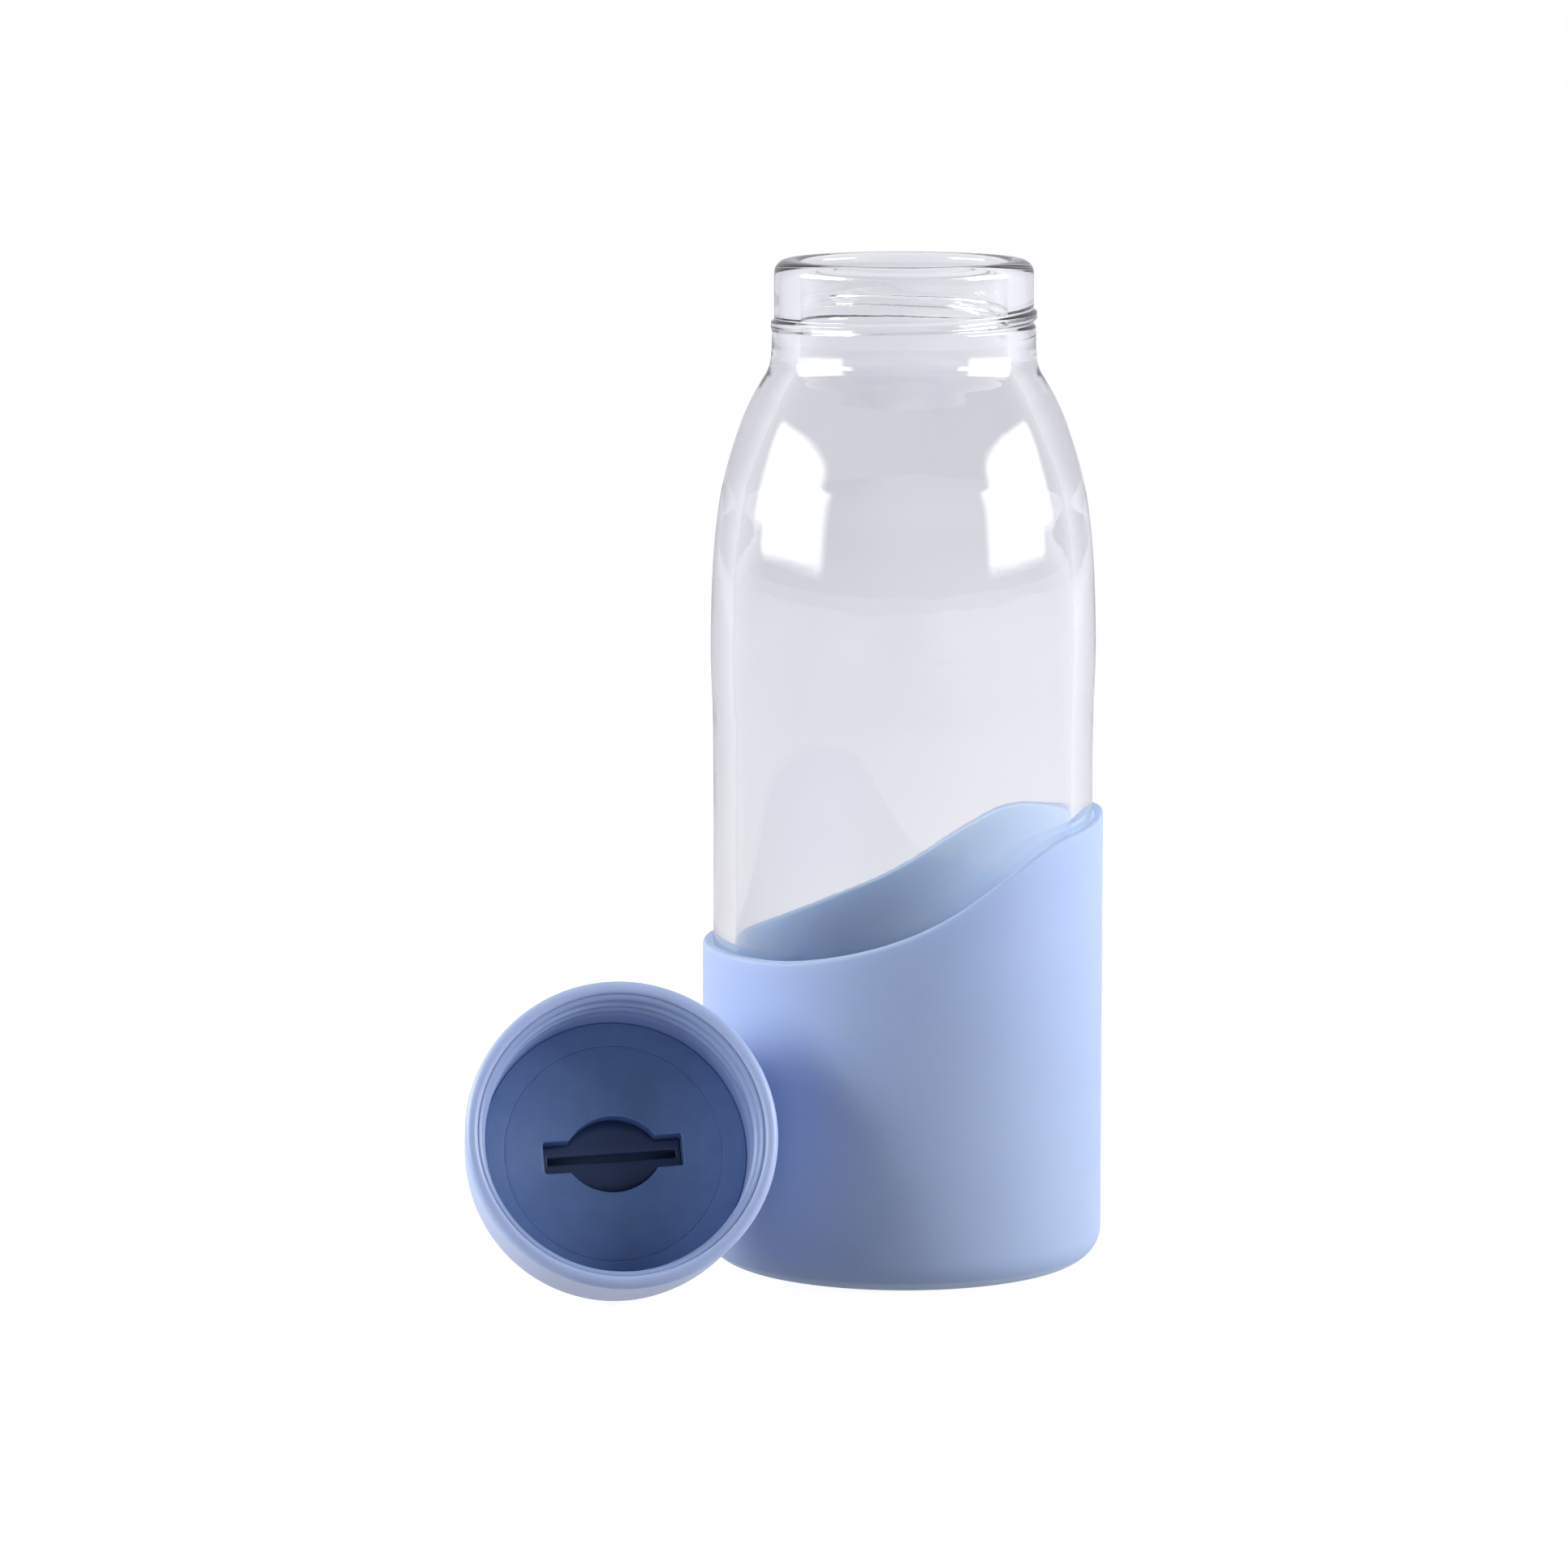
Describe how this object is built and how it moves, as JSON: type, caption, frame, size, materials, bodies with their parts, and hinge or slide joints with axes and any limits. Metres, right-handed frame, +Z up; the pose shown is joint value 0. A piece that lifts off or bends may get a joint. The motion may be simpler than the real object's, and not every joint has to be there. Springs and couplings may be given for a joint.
{
  "type": "glass water bottle",
  "caption": "Glass water bottle in a wave-cut silicone boot, with its domed screw lid off and lying on its side beside it; the neck has a screw thread and the lid floor a keyed recess.",
  "frame": {"origin": "centre of the boot's underside, on the surface the bottle stands on", "axes": "+Z up along the bottle's axis; the lid lies towards -X and -Y, its opening facing -Y"},
  "size_m": [0.1149, 0.0998, 0.183],
  "materials": {
    "clear_glass": "clear polished moulded glass, thick wall",
    "boot_silicone": "matte periwinkle blue moulded silicone",
    "lid_plastic": "satin periwinkle blue moulded plastic",
    "liner_plastic": "satin blue moulded plastic with fine turned rings on the floor",
    "seal_silicone": "satin blue silicone",
    "insert_plastic": "satin dark blue moulded plastic"
  },
  "bodies": {
    "boot": {"silicone_sleeve": "boot_silicone"},
    "bottle": {"glass_bottle": "clear_glass"},
    "seal_ring": {"lid_gasket": "seal_silicone"},
    "lid": {"lid_shell": "lid_plastic", "lid_liner": "liner_plastic", "lid_slot_insert": "insert_plastic"}
  },
  "joints": [
    {"name": "glass_pull", "type": "slide", "parent": "boot", "child": "bottle", "axis": [0, 0, 1], "range_m": [0, 0.09]},
    {"name": "lid_lift", "type": "slide", "parent": "boot", "child": "seal_ring", "axis": [0, 0, 1], "range_m": [0, 0.2]},
    {"name": "lid_turn", "type": "hinge", "parent": "seal_ring", "child": "lid", "pos_m": [-0.0501, -0.0523, 0.0329], "axis": [0.1151, -0.9112, 0.3955], "continuous": true}
  ]
}
